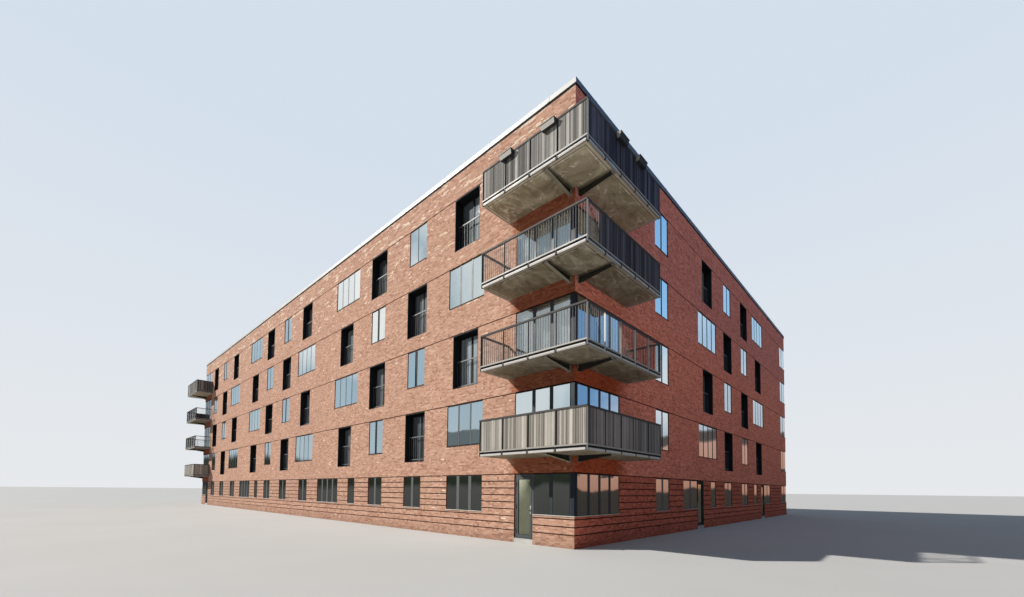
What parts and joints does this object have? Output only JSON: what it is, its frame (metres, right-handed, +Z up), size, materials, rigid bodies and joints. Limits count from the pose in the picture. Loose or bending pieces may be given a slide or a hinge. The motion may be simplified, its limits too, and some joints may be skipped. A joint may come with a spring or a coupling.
{
  "type": "five-storey apartment block, 1:2 scale model",
  "caption": "Long five-storey brick apartment block with a flat roof, glazed corners with stacked wrap-around balconies, recessed French doors and ground storey terrace doors.",
  "frame": {"origin": "centre of the wall footprint, on the underside of the ground slab and walls", "axes": "+X along the street front towards the sunlit balcony corner, +Y from the street front to the back, +Z up"},
  "size_m": [26.605, 17.05, 7.93],
  "materials": {
    "brick": "fired clay brick in lime mortar, rough",
    "concrete": "cast concrete, matt",
    "balcony_concrete": "weathered cast concrete, mottled",
    "roofing_felt": "bitumen felt with slate grit, matt",
    "coping_metal": "white powder coat, semi-matt",
    "frame_metal": "anthracite powder coat, satin",
    "glass": "clear double glazing, polished",
    "lining_metal": "black powder coat, satin",
    "rail_steel": "galvanised and painted steel, dull grey",
    "sill_stone": "light stone, honed",
    "sill_metal": "dark grey pressed metal, satin",
    "screen_boards": "grey-brown weathered boards, matt",
    "planter_plastic": "grey moulded plastic, matt"
  },
  "bodies": {
    "root": {"ground_slab": "concrete", "floor_slab_2": "concrete", "floor_slab_3": "concrete", "floor_slab_4": "concrete", "floor_slab_5": "concrete", "roof_deck": "roofing_felt", "coping": "coping_metal", "front_wall_base": "brick", "front_wall_upper": "brick", "right_wall_base": "brick", "right_wall_upper": "brick", "back_wall_base": "brick", "back_wall_upper": "brick", "left_wall_base": "brick", "left_wall_upper": "brick", "front_frames": "frame_metal", "right_frames": "frame_metal", "back_frames": "frame_metal", "left_frames": "frame_metal", "front_glass": "glass", "right_glass": "glass", "back_glass": "glass", "left_glass": "glass", "french_linings": "lining_metal", "french_rails": "rail_steel", "stone_sills": "sill_stone", "metal_sills": "sill_metal", "door_thresholds": "concrete", "balcony_slabs_right": "balcony_concrete", "balcony_slabs_left": "balcony_concrete", "balcony_brackets_right": "rail_steel", "balcony_brackets_left": "rail_steel", "balcony_railings_right": "rail_steel", "balcony_railings_left": "rail_steel", "balcony_screens_right": "screen_boards", "balcony_screens_left": "screen_boards", "planter_boxes": "planter_plastic"},
    "body_corner_door": {"corner_door": "frame_metal", "corner_door_glass": "glass"},
    "body_side_door_a": {"side_door_a": "frame_metal", "side_door_a_glass": "glass"},
    "body_side_door_b": {"side_door_b": "frame_metal", "side_door_b_glass": "glass"}
  },
  "joints": [
    {"name": "corner_door_hinge", "type": "hinge", "parent": "root", "child": "body_corner_door", "pos_m": [11.2875, -8.113, 0.65], "axis": [0, 0, -1], "range_deg": [0, 95]},
    {"name": "side_door_a_hinge", "type": "hinge", "parent": "root", "child": "body_side_door_a", "pos_m": [12.563, -2.2225, 0.65], "axis": [0, 0, 1], "range_deg": [0, 95]},
    {"name": "side_door_b_hinge", "type": "hinge", "parent": "root", "child": "body_side_door_b", "pos_m": [12.563, 3.8525, 0.65], "axis": [0, 0, -1], "range_deg": [0, 95]}
  ]
}
